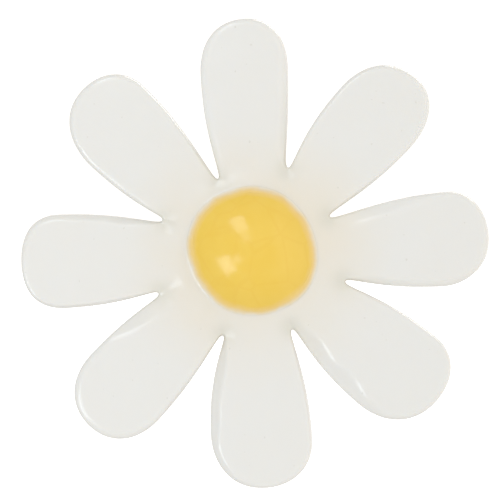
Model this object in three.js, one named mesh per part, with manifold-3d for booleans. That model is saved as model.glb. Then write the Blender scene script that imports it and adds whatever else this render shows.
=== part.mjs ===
// Daisy hair clip: a cast eight-petal flower with a domed centre, bonded to a sprung steel alligator clip.
// Millimetres. +Z is up and the flower faces -Y. The clip lies along X behind it, beak at -X, tails at +X.
// Origin: the middle of the space where the jaws hold the hair, on the flower's own axis.
import * as THREE from "three";
import { mergeVertices } from "three/addons/utils/BufferGeometryUtils.js";
import Module from "manifold-3d";

const wasm = await Module();
wasm.setup();

// ---------------------------------------------------------------- driving dimensions

// Steel clip
const STEEL = 0.6; // sheet thickness of both arms
const ARM_WIDTH = 7.2;
const BEAK_X = -24; // where both arms end at the gripping end
const TAIL_X = 24; // where both arms end at the finger end
const GRIP_GAP = 5; // clear height between the arms, where the hair lies
const PIVOT_X = 9; // the hinge pin's axis is at PIVOT_X, y = 0, along Z
const EAR_RADIUS = 2.1;
const EAR_BASE = 3; // half the length of an ear where it leaves its arm
const TAIL_ANGLE = THREE.MathUtils.degToRad(26); // the jaw arm's tail leans away from the flower arm
const WAIST_WIDTH = 5.6; // the jaw arm passes between the flower arm's ears here
const WAIST_HALF_LENGTH = 3.6;
const EAR_GAP = 0.2; // between an outer ear and an inner ear
const CORNER = 2.4; // radius of the arms' end corners

// Teeth along both edges of the jaw arm's beak
const TEETH = 6;
const TOOTH_ROOT = 0.5;
const TOOTH_TIP = 1.3;
const TEETH_FROM = 0.26; // as shares of the beak curve
const TEETH_TO = 0.8;
const JAW_CLEARANCE = 0.1; // between closed jaws

// Hinge pin and spring
const PIN_RADIUS = 0.75;
const PIN_PLAY = 0.08;
const PIN_HEAD_RADIUS = 1.35;
const PIN_HEAD = 0.45;
const PIN_CROWN_RADIUS = 0.9; // the flat on top of each head
const PIN_SIDES = 24;
const WIRE_RADIUS = 0.35;
const COIL_RADIUS = 1.85; // to the middle of the wire
const COIL_PITCH = 0.78;
const COIL_WHOLE_TURNS = 4;
const LEG_LENGTH = 8;
const LEG_GAP = 0.05; // between a leg and the arm that it pushes

// Flower
const FLOWER_BACK = 0.9; // the flat back stands this far in front of the flower arm
const FLOWER_THICK = 3.8;
const SIDE_WALL = 1.4; // plain edge behind the rounded front
const FRONT_ROUND = 1.6; // how far the rounding reaches in from the outline
const WIDEST_AT = 0.78; // share of a petal's length where it is widest
const NOTCH_HANDLE = 0.8; // how broadly the outline turns round the end of a notch
const SIDE_HANDLE = 8.8; // how long a petal's side runs straight before its widest place

// The petals anticlockwise from +X. Each was shaped by hand, so they differ a little: the angle of its axis
// in degrees, the tip's radius, how far the tip leans anticlockwise and how blunt it is (0.552 is an ellipse,
// and more is blunter), the angle and radius of the notch that follows the petal, the greatest half width on
// the anticlockwise side (left) and on the other (right), and how much further out than usual each of those
// sides is widest (outLeft, outRight).
const PETALS = [
  { angle: 3.4, tip: 32.5, lean: 0.2, blunt: 0.57, notchAngle: 24.5, notch: 11.6,
    left: 6.65, right: 6.25, outLeft: 1.9, outRight: 0.6 },
  { angle: 47.2, tip: 32.8, lean: -0.5, blunt: 0.61, notchAngle: 67.1, notch: 12.5,
    left: 6.4, right: 6.17, outLeft: 0, outRight: -1 },
  { angle: 92.2, tip: 32, lean: -0.3, blunt: 0.62, notchAngle: 115.2, notch: 11,
    left: 6.15, right: 5.85, outLeft: 0, outRight: 0 },
  { angle: 137.2, tip: 32.2, lean: -0.3, blunt: 0.59, notchAngle: 160.6, notch: 13,
    left: 6.4, right: 6.55, outLeft: -0.8, outRight: 1.2 },
  { angle: 183, tip: 31.7, lean: 0.1, blunt: 0.65, notchAngle: 203.8, notch: 14,
    left: 6.35, right: 6.5, outLeft: 1.1, outRight: 1.8 },
  { angle: 226.9, tip: 32.7, lean: 0.1, blunt: 0.6, notchAngle: 250.6, notch: 12.1,
    left: 6.35, right: 6.55, outLeft: 0, outRight: 0 },
  { angle: 272.6, tip: 32.4, lean: 0.1, blunt: 0.6, notchAngle: 297, notch: 11.9,
    left: 7.05, right: 6.85, outLeft: 0.6, outRight: -0.6 },
  { angle: 320.3, tip: 32.5, lean: 0.7, blunt: 0.6, notchAngle: 342.4, notch: 13.3,
    left: 7.12, right: 6.75, outLeft: 0.8, outRight: 0 },
];

// Centre dome in its seat, as heights above the flower's back
const SEAT_RADIUS = 8.8;
const SEAT_FLOOR = 2.6;
const DOME_RADIUS = 8.4;
const DOME_SHOULDER = 4.4; // the dome's side is straight up to here
const DOME_TOP = 8;
const COLLAR_TOP = 4;
const COLLAR_FLAT_RADIUS = 9.7; // the collar is level from the seat out to here
const COLLAR_FOOT_RADIUS = 10.4; // and has come down to the petals here
const ROUND_SIDES = 48;

// Adhesive
const GLUE = 0.26; // thickness under the dome
const GLUE_GAP = 0.02; // to the pieces that it bonds
const GLUE_RING_RADIUS = 9.5; // the ring that is squeezed out over the collar
const GLUE_RING_TOP = 4.46; // where the ring ends, just over the dome's shoulder
const BEAD_MIDDLE = -1; // along X
const BEAD_HALF_LENGTH = 10;
const BEAD_HALF_WIDTH = 4.5;

// Worked out from the dimensions above
const ARM_INNER = GRIP_GAP / 2;
const ARM_MIDDLE = ARM_INNER + STEEL / 2;
const ARM_OUTER = ARM_INNER + STEEL;
const BACK_Y = -(ARM_OUTER + FLOWER_BACK);
const OUTER_EAR_Z = ARM_WIDTH / 2 - STEEL;
const INNER_EAR_Z = OUTER_EAR_Z - EAR_GAP - STEEL;

// ---------------------------------------------------------------- materials

const cream = new THREE.MeshStandardMaterial({ color: 0xe9e8e3, roughness: 0.18, metalness: 0 });
const yellow = new THREE.MeshStandardMaterial({ color: 0xf0cb5a, roughness: 0.15, metalness: 0 });
const glue = new THREE.MeshStandardMaterial({ color: 0xe4e2d6, roughness: 0.3, metalness: 0 });
const steel = new THREE.MeshStandardMaterial({ color: 0xc4c6c8, roughness: 0.28, metalness: 1 });
const spring = new THREE.MeshStandardMaterial({ color: 0xa9abad, roughness: 0.3, metalness: 1 });

// ---------------------------------------------------------------- joining and cutting

function solid(geometry) {
  const plain = geometry.clone();
  plain.deleteAttribute("normal");
  plain.deleteAttribute("uv");
  const merged = mergeVertices(plain, 1e-4);
  return new wasm.Manifold(
    new wasm.Mesh({
      numProp: 3,
      vertProperties: new Float32Array(merged.attributes.position.array),
      triVerts: new Uint32Array(merged.index.array),
    }),
  );
}

function geometryOf(made) {
  const mesh = made.getMesh();
  const geometry = new THREE.BufferGeometry();
  geometry.setAttribute("position", new THREE.BufferAttribute(mesh.vertProperties, 3));
  geometry.setIndex(new THREE.BufferAttribute(mesh.triVerts, 1));
  const faceted = geometry.toNonIndexed();
  faceted.computeVertexNormals();
  return faceted;
}

function box(low, high) {
  const size = high.map((value, axis) => value - low[axis]);
  const centre = high.map((value, axis) => (value + low[axis]) / 2);
  return new THREE.BoxGeometry(...size).translate(...centre);
}

// A shape drawn in the side view (X, Y), as a plate between two heights on Z.
function sidePlate(shape, zLow, zHigh, curveSegments = 12) {
  const settings = { depth: zHigh - zLow, bevelEnabled: false, curveSegments };
  return new THREE.ExtrudeGeometry(shape, settings).translate(0, 0, zLow);
}

// A shape drawn in the view from behind (X, Z), as a plate between two depths on Y.
function backPlate(shape, yLow, yHigh, curveSegments = 8) {
  const settings = { depth: yHigh - yLow, bevelEnabled: false, curveSegments };
  return new THREE.ExtrudeGeometry(shape, settings).rotateX(Math.PI / 2).translate(0, yHigh, 0);
}

function part(name, geometry, material) {
  const mesh = new THREE.Mesh(geometry, material);
  mesh.name = name;
  return mesh;
}

// ---------------------------------------------------------------- flower

// A point in a petal's own frame, along its axis and across it, in the flower's plane.
function onPetal(petal, along, across) {
  const turn = THREE.MathUtils.degToRad(petal.angle);
  const x = along * Math.cos(turn) - across * Math.sin(turn);
  return new THREE.Vector2(x, along * Math.sin(turn) + across * Math.cos(turn));
}

function polar(radius, degrees) {
  const turn = THREE.MathUtils.degToRad(degrees);
  return new THREE.Vector2(radius * Math.cos(turn), radius * Math.sin(turn));
}

// The direction along the rim at an angle, anticlockwise.
function rimDirection(degrees) {
  return polar(1, degrees + 90);
}

function flowerOutline() {
  const shape = new THREE.Shape();
  const curve = (a, b, c) => shape.bezierCurveTo(a.x, a.y, b.x, b.y, c.x, c.y);
  const last = PETALS[PETALS.length - 1];
  let notch = polar(last.notch, last.notchAngle);
  let leaving = rimDirection(last.notchAngle).multiplyScalar(NOTCH_HANDLE);
  shape.moveTo(notch.x, notch.y);
  for (const petal of PETALS) {
    const { tip, lean, left, right, outLeft, outRight, blunt } = petal;
    const at = (along, across) => onPetal(petal, along, across);
    // A petal is widest a little further out on the side that its tip leans to.
    const wideRight = tip * WIDEST_AT - lean + outRight;
    const wideLeft = tip * WIDEST_AT + lean + outLeft;
    const tipRight = lean - (right + lean) * blunt;
    const tipLeft = lean + (left - lean) * blunt;
    const reachRight = wideRight + (tip - wideRight) * blunt;
    const reachLeft = wideLeft + (tip - wideLeft) * blunt;
    curve(notch.clone().add(leaving), at(wideRight - SIDE_HANDLE, -right), at(wideRight, -right));
    curve(at(reachRight, -right), at(tip, tipRight), at(tip, lean));
    curve(at(tip, tipLeft), at(reachLeft, left), at(wideLeft, left));
    notch = polar(petal.notch, petal.notchAngle);
    leaving = rimDirection(petal.notchAngle).multiplyScalar(NOTCH_HANDLE);
    curve(at(wideLeft - SIDE_HANDLE, left), notch.clone().sub(leaving), notch);
  }
  return shape;
}

// The white ring that rises in a hollow curve from the petals to the dome.
function collarGeometry() {
  const profile = new THREE.Path();
  const inner = SEAT_RADIUS - 1; // the seat is cut out of it later
  profile.moveTo(inner, SIDE_WALL);
  profile.lineTo(COLLAR_FOOT_RADIUS, SIDE_WALL);
  profile.lineTo(COLLAR_FOOT_RADIUS, FLOWER_THICK);
  profile.quadraticCurveTo(COLLAR_FLAT_RADIUS, FLOWER_THICK, COLLAR_FLAT_RADIUS, COLLAR_TOP);
  profile.lineTo(inner, COLLAR_TOP);
  profile.lineTo(inner, SIDE_WALL);
  return new THREE.LatheGeometry(profile.getPoints(4), ROUND_SIDES).rotateX(Math.PI / 2);
}

function petalFlower() {
  const front = FLOWER_THICK - SIDE_WALL;
  const slab = new THREE.ExtrudeGeometry(flowerOutline(), {
    depth: SIDE_WALL,
    bevelThickness: front,
    bevelSize: FRONT_ROUND,
    bevelOffset: -FRONT_ROUND,
    bevelSegments: 3,
    curveSegments: 6,
  });
  const beyond = 40; // further out than any petal
  const behind = box([-beyond, -beyond, -2 * front], [beyond, beyond, 0]);
  const seat = new THREE.CylinderGeometry(SEAT_RADIUS, SEAT_RADIUS, DOME_TOP, ROUND_SIDES)
    .rotateX(Math.PI / 2)
    .translate(0, 0, SEAT_FLOOR + DOME_TOP / 2);
  return solid(slab).subtract(solid(behind)).add(solid(collarGeometry())).subtract(solid(seat));
}

// The dome is the cap of a larger ball, as a thick drop of resin sets.
function domeGeometry() {
  const base = SEAT_FLOOR + GLUE + 2 * GLUE_GAP;
  const rise = DOME_TOP - DOME_SHOULDER;
  const ball = (DOME_RADIUS * DOME_RADIUS + rise * rise) / (2 * rise);
  const points = [new THREE.Vector2(0, base), new THREE.Vector2(DOME_RADIUS, base)];
  const steps = 9;
  for (let step = 0; step <= steps; step += 1) {
    const slope = (1 - step / steps) * Math.asin(DOME_RADIUS / ball);
    points.push(new THREE.Vector2(ball * Math.sin(slope), DOME_TOP - ball * (1 - Math.cos(slope))));
  }
  return new THREE.LatheGeometry(points, ROUND_SIDES).rotateX(Math.PI / 2);
}

// The adhesive that holds the dome: a thin cup under and round it, with a ring squeezed out over the collar.
function centreAdhesive() {
  const under = SEAT_FLOOR + GLUE_GAP;
  const overCollar = COLLAR_TOP + GLUE_GAP;
  const inSeat = SEAT_RADIUS - 2 * GLUE_GAP;
  const roundDome = DOME_RADIUS + 2 * GLUE_GAP;
  const profile = new THREE.Path();
  profile.moveTo(0, under);
  profile.lineTo(inSeat, under);
  profile.lineTo(inSeat, overCollar);
  profile.lineTo(GLUE_RING_RADIUS, overCollar);
  profile.quadraticCurveTo(SEAT_RADIUS, overCollar, roundDome, GLUE_RING_TOP);
  profile.lineTo(roundDome, under + GLUE);
  profile.lineTo(0, under + GLUE);
  return new THREE.LatheGeometry(profile.getPoints(5), ROUND_SIDES).rotateX(Math.PI / 2);
}

function flowerParts() {
  const group = new THREE.Group();
  group.add(part("petal_flower", geometryOf(petalFlower()), cream));
  group.add(part("flower_centre", domeGeometry(), yellow));
  group.add(part("centre_adhesive", centreAdhesive(), glue));
  group.rotation.x = Math.PI / 2;
  group.position.y = BACK_Y;
  return group;
}

// The bead of adhesive between the flower's back and the flower arm, with round ends.
function mountingAdhesive() {
  const toEndCentre = BEAD_HALF_LENGTH - BEAD_HALF_WIDTH;
  const shape = new THREE.Shape();
  shape.absarc(BEAD_MIDDLE + toEndCentre, 0, BEAD_HALF_WIDTH, -Math.PI / 2, Math.PI / 2, false);
  shape.absarc(BEAD_MIDDLE - toEndCentre, 0, BEAD_HALF_WIDTH, Math.PI / 2, (3 * Math.PI) / 2, false);
  return backPlate(shape, BACK_Y + GLUE_GAP, -ARM_OUTER - GLUE_GAP, 10);
}

// ---------------------------------------------------------------- steel arms

// The outline of an arm seen from behind: round corners, and a narrower waist where it has one.
function armOutline(waistWidth) {
  const edge = ARM_WIDTH / 2;
  const waist = waistWidth / 2;
  const step = edge - waist;
  const waistFrom = PIVOT_X - WAIST_HALF_LENGTH;
  const waistTo = PIVOT_X + WAIST_HALF_LENGTH;
  const shape = new THREE.Shape();
  shape.moveTo(BEAK_X + CORNER, -edge);
  shape.lineTo(waistFrom - step, -edge);
  shape.lineTo(waistFrom, -waist);
  shape.lineTo(waistTo, -waist);
  shape.lineTo(waistTo + step, -edge);
  shape.absarc(TAIL_X - CORNER, -edge + CORNER, CORNER, -Math.PI / 2, 0, false);
  shape.absarc(TAIL_X - CORNER, edge - CORNER, CORNER, 0, Math.PI / 2, false);
  shape.lineTo(waistTo + step, edge);
  shape.lineTo(waistTo, waist);
  shape.lineTo(waistFrom, waist);
  shape.lineTo(waistFrom - step, edge);
  shape.absarc(BEAK_X + CORNER, edge - CORNER, CORNER, Math.PI / 2, Math.PI, false);
  shape.absarc(BEAK_X + CORNER, -edge + CORNER, CORNER, Math.PI, (3 * Math.PI) / 2, false);
  return shape;
}

function bothSides(shape, zInner) {
  const upper = solid(sidePlate(shape, zInner, zInner + STEEL));
  return upper.add(solid(sidePlate(shape, -zInner - STEEL, -zInner)));
}

function pinHole() {
  const radius = PIN_RADIUS + PIN_PLAY;
  const cylinder = new THREE.CylinderGeometry(radius, radius, 2 * ARM_WIDTH, PIN_SIDES);
  return solid(cylinder.rotateX(Math.PI / 2).translate(PIVOT_X, 0, 0));
}

// A flat strip with two ears folded back around the hinge pin.
function flowerArm() {
  const strip = solid(backPlate(armOutline(ARM_WIDTH), -ARM_OUTER, -ARM_INNER));
  const ear = new THREE.Shape();
  ear.moveTo(PIVOT_X - EAR_BASE, -ARM_MIDDLE);
  ear.lineTo(PIVOT_X + EAR_BASE, -ARM_MIDDLE);
  ear.absarc(PIVOT_X, 0, EAR_RADIUS, 0, Math.PI, false);
  return strip.add(bothSides(ear, OUTER_EAR_Z)).subtract(pinHole());
}

// The middle line of the jaw arm in the side view: sloping tail, small bend over the hinge, flat back, beak.
const TAIL_FOOT = new THREE.Vector2(
  PIVOT_X - ARM_MIDDLE * Math.sin(TAIL_ANGLE),
  ARM_MIDDLE * Math.cos(TAIL_ANGLE),
);
const BEND_X = TAIL_FOOT.x + (ARM_MIDDLE - TAIL_FOOT.y) / Math.tan(TAIL_ANGLE);
const BEND_SPAN = 0.7; // how far either side of the bend's corner the curve runs
const FLAT_TO_X = -7; // the beak's curve starts here
const BEAK_EASE = 7; // how far the curve keeps each end's direction
const NOSE_Y = -(ARM_INNER - JAW_CLEARANCE - STEEL / 2); // the middle line at the beak's tip

function tailPoint(x) {
  return new THREE.Vector2(x, TAIL_FOOT.y + (x - TAIL_FOOT.x) * Math.tan(TAIL_ANGLE));
}

const beakCurve = new THREE.CubicBezierCurve(
  new THREE.Vector2(FLAT_TO_X, ARM_MIDDLE),
  new THREE.Vector2(FLAT_TO_X - BEAK_EASE, ARM_MIDDLE),
  new THREE.Vector2(BEAK_X + BEAK_EASE, NOSE_Y),
  new THREE.Vector2(BEAK_X, NOSE_Y),
);

function jawMiddleLine() {
  const bendStart = tailPoint(BEND_X + BEND_SPAN * Math.cos(TAIL_ANGLE));
  const bend = new THREE.QuadraticBezierCurve(
    bendStart,
    new THREE.Vector2(BEND_X, ARM_MIDDLE),
    new THREE.Vector2(BEND_X - BEND_SPAN, ARM_MIDDLE),
  );
  return [tailPoint(TAIL_X), ...bend.getPoints(4), ...beakCurve.getPoints(20)];
}

// A strip of even thickness along a line of points.
function ribbon(points, thickness) {
  const side = (sign) =>
    points.map((point, index) => {
      const before = points[Math.max(index - 1, 0)];
      const after = points[Math.min(index + 1, points.length - 1)];
      const along = after.clone().sub(before).normalize();
      return point.clone().add(new THREE.Vector2(-along.y, along.x).multiplyScalar((sign * thickness) / 2));
    });
  return new THREE.Shape([...side(1), ...side(-1).reverse()]);
}

// The saw-toothed flange under each edge of the beak.
function toothedFlange() {
  const point = (share, depth) => {
    const along = beakCurve.getTangent(share);
    return beakCurve.getPoint(share).add(new THREE.Vector2(-along.y, along.x).multiplyScalar(depth));
  };
  const pitch = (TEETH_TO - TEETH_FROM) / TEETH;
  const edge = [];
  for (let tooth = 0; tooth < TEETH; tooth += 1) {
    const start = TEETH_FROM + tooth * pitch;
    edge.push(point(start, STEEL / 2 + TOOTH_ROOT), point(start + pitch / 2, STEEL / 2 + TOOTH_TIP));
  }
  edge.push(point(TEETH_TO, STEEL / 2 + TOOTH_ROOT));
  const steps = 8;
  const top = [];
  for (let step = 0; step <= steps; step += 1) {
    top.push(point(TEETH_TO + ((TEETH_FROM - TEETH_TO) * step) / steps, 0));
  }
  return new THREE.Shape([...edge, ...top]);
}

function jawArm() {
  const strip = solid(sidePlate(ribbon(jawMiddleLine(), STEEL), -ARM_WIDTH / 2, ARM_WIDTH / 2));
  const plan = solid(backPlate(armOutline(WAIST_WIDTH), -2 * ARM_WIDTH, 2 * ARM_WIDTH));
  const ear = new THREE.Shape();
  ear.moveTo(PIVOT_X + EAR_BASE, tailPoint(PIVOT_X + EAR_BASE).y);
  ear.lineTo(BEND_X, ARM_MIDDLE);
  ear.lineTo(PIVOT_X - EAR_BASE, ARM_MIDDLE);
  ear.absarc(PIVOT_X, 0, EAR_RADIUS, Math.PI, 2 * Math.PI, false);
  const clearOf = -ARM_INNER + JAW_CLEARANCE;
  const flowerArmSide = solid(box([BEAK_X, -ARM_OUTER, -ARM_WIDTH], [TAIL_X, clearOf, ARM_WIDTH]));
  return strip
    .intersect(plan)
    .add(bothSides(ear, INNER_EAR_Z))
    .add(bothSides(toothedFlange(), OUTER_EAR_Z))
    .subtract(flowerArmSide)
    .subtract(pinHole());
}

// ---------------------------------------------------------------- hinge pin and spring

function hingePin() {
  const shank = ARM_WIDTH / 2 + PIN_PLAY;
  const end = shank + PIN_HEAD;
  const profile = [
    [0, -end],
    [PIN_CROWN_RADIUS, -end],
    [PIN_HEAD_RADIUS, -shank - PIN_HEAD / 2],
    [PIN_HEAD_RADIUS, -shank],
    [PIN_RADIUS, -shank],
    [PIN_RADIUS, shank],
    [PIN_HEAD_RADIUS, shank],
    [PIN_HEAD_RADIUS, shank + PIN_HEAD / 2],
    [PIN_CROWN_RADIUS, end],
    [0, end],
  ].map(([radius, height]) => new THREE.Vector2(radius, height));
  return new THREE.LatheGeometry(profile, PIN_SIDES).rotateX(Math.PI / 2).translate(PIVOT_X, 0, 0);
}

// The wire's middle line: a leg against the flower arm, the coil round the pin, a leg against the jaw's tail.
class SpringWire extends THREE.Curve {
  constructor() {
    super();
    this.startAngle = -Math.PI / 2;
    this.turn = COIL_WHOLE_TURNS * 2 * Math.PI + (Math.PI - TAIL_ANGLE);
    this.rise = (COIL_PITCH * this.turn) / (2 * Math.PI);
    this.coilLength = COIL_RADIUS * this.turn;
    this.length = this.coilLength + 2 * LEG_LENGTH;
    // The legs lean out until they all but touch the arms.
    const reach = ARM_INNER - LEG_GAP - WIRE_RADIUS - COIL_RADIUS;
    this.lean = Math.asin(reach / LEG_LENGTH);
  }

  onCoil(share, target) {
    const angle = this.startAngle - this.turn * share;
    const x = PIVOT_X + COIL_RADIUS * Math.cos(angle);
    return target.set(x, COIL_RADIUS * Math.sin(angle), this.rise * (share - 0.5));
  }

  getPoint(share, target = new THREE.Vector3()) {
    const distance = share * this.length;
    if (distance < LEG_LENGTH) {
      const out = LEG_LENGTH - distance;
      this.onCoil(0, target);
      return target.add(new THREE.Vector3(out * Math.cos(this.lean), -out * Math.sin(this.lean), 0));
    }
    if (distance > LEG_LENGTH + this.coilLength) {
      const out = distance - LEG_LENGTH - this.coilLength;
      const heading = TAIL_ANGLE + this.lean;
      this.onCoil(1, target);
      return target.add(new THREE.Vector3(out * Math.cos(heading), out * Math.sin(heading), 0));
    }
    return this.onCoil((distance - LEG_LENGTH) / this.coilLength, target);
  }
}

function torsionSpring() {
  const section = new THREE.Shape();
  section.absarc(0, 0, WIRE_RADIUS, 0, 2 * Math.PI, false);
  const settings = { steps: 76, curveSegments: 5, extrudePath: new SpringWire() };
  return new THREE.ExtrudeGeometry(section, settings);
}

// ---------------------------------------------------------------- the whole clip

const hairClip = new THREE.Group();
hairClip.add(flowerParts());
hairClip.add(part("mounting_adhesive", mountingAdhesive(), glue));
hairClip.add(part("flower_arm", geometryOf(flowerArm()), steel));
hairClip.add(part("jaw_arm", geometryOf(jawArm()), steel));
hairClip.add(part("hinge_pin", hingePin(), steel));
hairClip.add(part("torsion_spring", torsionSpring(), spring));

export default hairClip;
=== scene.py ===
import math

import bpy
import numpy as np
from mathutils import Matrix, Vector
from mathutils.geometry import delaunay_2d_cdt
from mathutils.kdtree import KDTree


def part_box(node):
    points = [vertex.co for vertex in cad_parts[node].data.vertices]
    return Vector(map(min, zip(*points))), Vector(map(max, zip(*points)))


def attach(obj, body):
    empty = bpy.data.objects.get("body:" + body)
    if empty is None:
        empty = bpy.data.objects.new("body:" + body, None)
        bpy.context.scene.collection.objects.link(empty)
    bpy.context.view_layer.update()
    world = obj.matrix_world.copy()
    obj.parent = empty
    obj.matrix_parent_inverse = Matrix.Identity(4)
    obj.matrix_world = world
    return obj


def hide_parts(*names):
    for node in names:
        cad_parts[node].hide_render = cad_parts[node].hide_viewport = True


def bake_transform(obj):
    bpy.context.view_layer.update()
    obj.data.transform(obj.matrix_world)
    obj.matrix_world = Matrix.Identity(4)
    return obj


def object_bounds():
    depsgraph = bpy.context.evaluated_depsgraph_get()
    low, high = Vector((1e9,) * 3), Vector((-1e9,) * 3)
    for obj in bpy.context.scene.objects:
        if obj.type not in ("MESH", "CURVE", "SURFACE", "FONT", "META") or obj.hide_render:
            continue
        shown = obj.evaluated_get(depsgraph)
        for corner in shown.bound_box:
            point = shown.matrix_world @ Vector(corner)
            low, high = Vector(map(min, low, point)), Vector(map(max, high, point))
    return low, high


# Lengths are millimetres, except in the frame and where a comment says otherwise; add_piece turns them into
# metres. The flower faces -Y, so "height" means the distance in front of the flower's flat back.
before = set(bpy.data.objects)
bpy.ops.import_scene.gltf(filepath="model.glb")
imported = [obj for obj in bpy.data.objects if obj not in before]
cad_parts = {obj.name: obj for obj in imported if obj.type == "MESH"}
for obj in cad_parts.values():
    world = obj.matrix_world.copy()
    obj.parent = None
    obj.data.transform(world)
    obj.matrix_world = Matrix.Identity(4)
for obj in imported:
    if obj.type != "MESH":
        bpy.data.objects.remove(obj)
cad_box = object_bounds()

MM = 0.001


def box_mm(node):
    lowest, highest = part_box(node)
    return lowest / MM, highest / MM


dome_low, dome_high = box_mm("flower_centre")
BACK_Y = box_mm("petal_flower")[1].y

# ---------------------------------------------------------------- flower dimensions
FLOWER_THICK = 3.8
SEAT_FLOOR = 2.6
COLLAR_TOP = 3.98
DOME_RADIUS = (dome_high.x - dome_low.x) / 2
DOME_TOP = BACK_Y - dome_low.y
DOME_SHOULDER = 4.4
EDGE_IN = 0.38  # the rounded front edge, measured inwards
EDGE_DOWN = 0.6  # and measured down
BACK_EDGE = 0.35  # radius of the back edge
CROWN = 0.1  # how much each petal bulges across its width
BACK_DISH = 0.09  # the poured back is a little hollow inside its rim
COLLAR_FOOT = 12.6  # radius where the petals start to rise to the collar
COLLAR_RISE = 3.2  # and over how far they do
PLAIN_RADIUS = 11.2  # inside here the petals' edge faces fade out
PLAIN_FADE = 1.9  # over this far
FILLET = 1.1  # radius of the hollow curve in which the collar meets the dome
FILLET_SHARE = 0.66  # how much of that curve there is, as the sine of its steepest slope
SEAT_GAP = 0.1  # between the dome and its seat
DOME_SHIFT = (0.03, 0.16)  # the dome was set a little high in its seat

# Filed faces along the petals' edges, from the petal at 3 o'clock round anticlockwise. First the clockwise
# side and last the other: width at the petal's base, width at its middle, slope, and softness of the ridge.
# Between them the tip: width, slope and softness. Near a notch the faces narrow to a share of their width.
EDGE_FACES = (
    ((1.0, 0.8, 0.9, 0.6), (0.5, 0.9, 0.4), (0.5, 0.4, 0.9, 0.4)),
    ((0.4, 0.35, 1.2, 0.3), (0.6, 0.7, 0.6), (0.3, 0.35, 1.4, 0.3)),
    ((1.6, 1.1, 0.7, 0.8), (0.4, 0.9, 0.5), (1.3, 0.6, 0.5, 0.45)),
    ((0.5, 0.4, 1.2, 0.5), (0.5, 0.9, 0.6), (0.5, 0.4, 0.9, 0.5)),
    ((1.0, 0.8, 1.1, 0.5), (0.4, 1.0, 0.4), (0.4, 0.4, 1.4, 0.3)),
    ((0.6, 0.5, 0.9, 0.5), (0.7, 0.6, 0.7), (0.4, 0.5, 0.9, 0.4)),
    ((1.5, 1.2, 1.2, 0.6), (0.3, 0.9, 0.5), (0.4, 0.4, 1.2, 0.4)),
    ((0.6, 0.6, 0.9, 0.5), (0.4, 0.8, 0.4), (0.3, 0.3, 1.2, 0.3)),
)
NOTCH_SHARE = 0.35
NOTCH_TAPER = 4.5  # how far along the outline they narrow
# Long flats filed along one side of three petals. For each: the ridge's ends as (radius, angle in degrees),
# the slope at which the flat falls away from it, to which side of its outward direction (1 left, -1 right), the
# number of the notch that it falls towards, and how far the ridge wavers.
LONG_FLATS = (
    ((13.2, 14.1), (27.2, 16.8), 0.55, 1, 0, 0.1),
    ((14.2, 216.4), (26.6, 211.3), 0.6, -1, 4, 0.12),
    ((10.2, 304.9), (27.4, 308.8), 0.74, -1, 6, 0.22),
)
# Notches are numbered anticlockwise from the first one past 3 o'clock. A shallow hollow runs from the end of
# each towards the middle: here are their lengths, their depth and their width.
HOLLOW_LENGTHS = (3.4, 3.0, 2.8, 4.0, 4.8, 3.0, 3.6, 3.8)
HOLLOW_DEPTH = 0.24
HOLLOW_WIDTH = 1.1

# How finely the flower is meshed
OUTLINE_STEP = 0.05
WALL_FROM = 0.37  # height where the side wall starts above the rounded back edge
BACK_ROUND = ((BACK_EDGE, 0), (0.24, 0.02), (0.13, 0.085), (0.045, 0.19), (0, WALL_FROM))  # (inwards, height)
WALL_SHARES = (0.3, 0.55, 0.8)
FRONT_ROWS = (0, 0.008, 0.03, 0.065, 0.115, 0.175, 0.25, 0.35, 0.48, 0.64)  # distances in from the outline
BACK_ROWS = (0.6, 0.9, 1.25, 1.65, 2.1)
SEAT_POINTS = 264
RINGS_TO = 11.3  # radius of the last ring of points round the seat
RING_SHARES = (0.02, 0.05, 0.09, 0.14, 0.2, 0.26, 0.33, 0.4, 0.47, 0.54, 0.62, 0.7, 0.78, 0.88)
GRID_HALF = 33
DOME_SEGMENTS = 192


# ---------------------------------------------------------------- mesh helpers
def outward(vertices, faces):
    """The faces of a closed mesh, turned so that they face out."""
    volume = 0.0
    for face in faces:
        a = vertices[face[0]]
        for i in range(1, len(face) - 1):
            volume += float(np.dot(a, np.cross(vertices[face[i]], vertices[face[i + 1]])))
    return faces if volume > 0 else [tuple(reversed(face)) for face in faces]


def add_piece(name, vertices, faces, material, sharp=None):
    """A smooth-shaded mesh object; edges sharper than the angle sharp, in degrees, stay sharp."""
    mesh = bpy.data.meshes.new(name)
    mesh.from_pydata((np.asarray(vertices, float) * MM).tolist(), [], [tuple(map(int, f)) for f in faces])
    mesh.validate()
    mesh.polygons.foreach_set("use_smooth", [True] * len(mesh.polygons))
    if sharp:
        mesh.set_sharp_from_angle(angle=math.radians(sharp))
    mesh.materials.append(material)
    piece = bpy.data.objects.new(name, mesh)
    bpy.context.scene.collection.objects.link(piece)
    return piece


def band(first, second, count):
    """Quads between two closed rows of count vertices, whose first vertices are first and second."""
    return [(first + i, first + (i + 1) % count, second + (i + 1) % count, second + i) for i in range(count)]


def capped(first, rows, last):
    """A closed body from a first point, rows of points round it and a last point: vertices and faces."""
    count = len(rows[0])
    vertices = np.concatenate([[first], *rows, [last]])
    faces = [(0, 1 + i, 1 + (i + 1) % count) for i in range(count)]
    for k in range(len(rows) - 1):
        faces += [tuple(reversed(f)) for f in band(1 + k * count, 1 + (k + 1) * count, count)]
    last_row, end = 1 + (len(rows) - 1) * count, len(vertices) - 1
    faces += [(end, last_row + (i + 1) % count, last_row + i) for i in range(count)]
    return vertices, outward(vertices, faces)


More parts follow.
